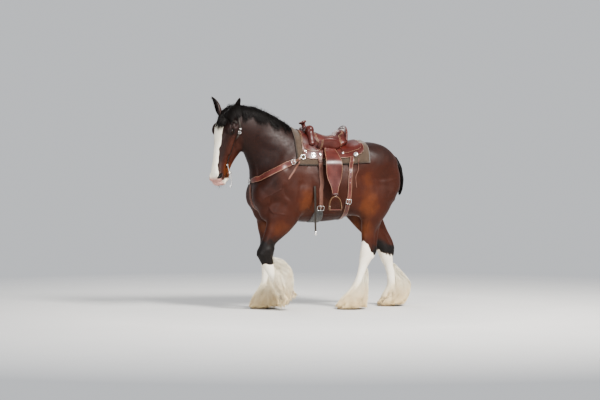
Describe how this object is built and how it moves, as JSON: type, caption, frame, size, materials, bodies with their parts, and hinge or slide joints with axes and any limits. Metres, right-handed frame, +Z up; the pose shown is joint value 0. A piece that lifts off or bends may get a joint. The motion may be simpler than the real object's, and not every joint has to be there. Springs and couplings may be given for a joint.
{
  "type": "clydesdale horse in western tack",
  "caption": "Life-size heavy draught horse, mid-step with a foreleg lifted, with feathered legs, stock saddle, breast collar and bridle.",
  "frame": {"origin": "centre of the horse's box at the ground, which its three standing hooves rest on", "axes": "+Z up; the horse faces -X and its left side is -Y"},
  "size_m": [2.3126, 0.92, 2.2135],
  "materials": {
    "bay_coat": "short glossy red-brown hair",
    "black_hair": "coarse black hair",
    "white_feather": "long silky cream-white hair",
    "hoof_horn": "pale ringed horn",
    "dark_eye": "wet dark brown eye",
    "chestnut_leather": "red-brown oiled leather",
    "dark_leather": "dark brown leather",
    "grey_felt": "thick grey-brown felt",
    "charcoal_webbing": "woven charcoal cord webbing",
    "bright_steel": "polished silvery metal",
    "pale_rawhide": "pale rawhide over wood"
  },
  "bodies": {
    "root": {"bit_shank_left": "bright_steel", "bit_shank_right": "bright_steel", "breast_collar_left": "chestnut_leather", "breast_collar_right": "chestnut_leather", "breast_strap": "chestnut_leather", "browband": "dark_leather", "cheek_stud_left": "bright_steel", "cheek_stud_right": "bright_steel", "cheekpiece_left": "dark_leather", "cheekpiece_right": "dark_leather", "chest_ring": "bright_steel", "collar_ring_left": "bright_steel", "collar_ring_right": "bright_steel", "curb_strap": "dark_leather", "ear_left": "bay_coat", "ear_right": "bay_coat", "eye_left": "dark_eye", "eye_right": "dark_eye", "fender_left": "chestnut_leather", "fender_right": "chestnut_leather", "foreleg_left_lower": "white_feather", "foreleg_left_upper": "bay_coat", "foreleg_right_lower": "white_feather", "foreleg_right_upper": "bay_coat", "forelock": "black_hair", "front_cinch": "charcoal_webbing", "head": "bay_coat", "headstall_crown": "dark_leather", "hindleg_left_lower": "white_feather", "hindleg_left_upper": "bay_coat", "hindleg_right_lower": "white_feather", "hindleg_right_upper": "bay_coat", "hoof_fore_left": "hoof_horn", "hoof_fore_right": "hoof_horn", "hoof_hind_left": "hoof_horn", "hoof_hind_right": "hoof_horn", "latigo_left": "chestnut_leather", "latigo_right": "chestnut_leather", "latigo_spare_end": "dark_leather", "mane": "black_hair", "neck": "bay_coat", "rear_billet_left": "chestnut_leather", "rear_billet_right": "chestnut_leather", "rear_cinch": "chestnut_leather", "rear_stud_left": "bright_steel", "rear_stud_right": "bright_steel", "saddle_horn": "chestnut_leather", "saddle_pad": "grey_felt", "saddle_seat": "chestnut_leather", "saddle_skirts": "chestnut_leather", "skirt_stud_left": "bright_steel", "skirt_stud_right": "bright_steel", "stirrup_left": "pale_rawhide", "stirrup_right": "pale_rawhide", "tail": "black_hair", "torso": "bay_coat"}
  },
  "joints": []
}
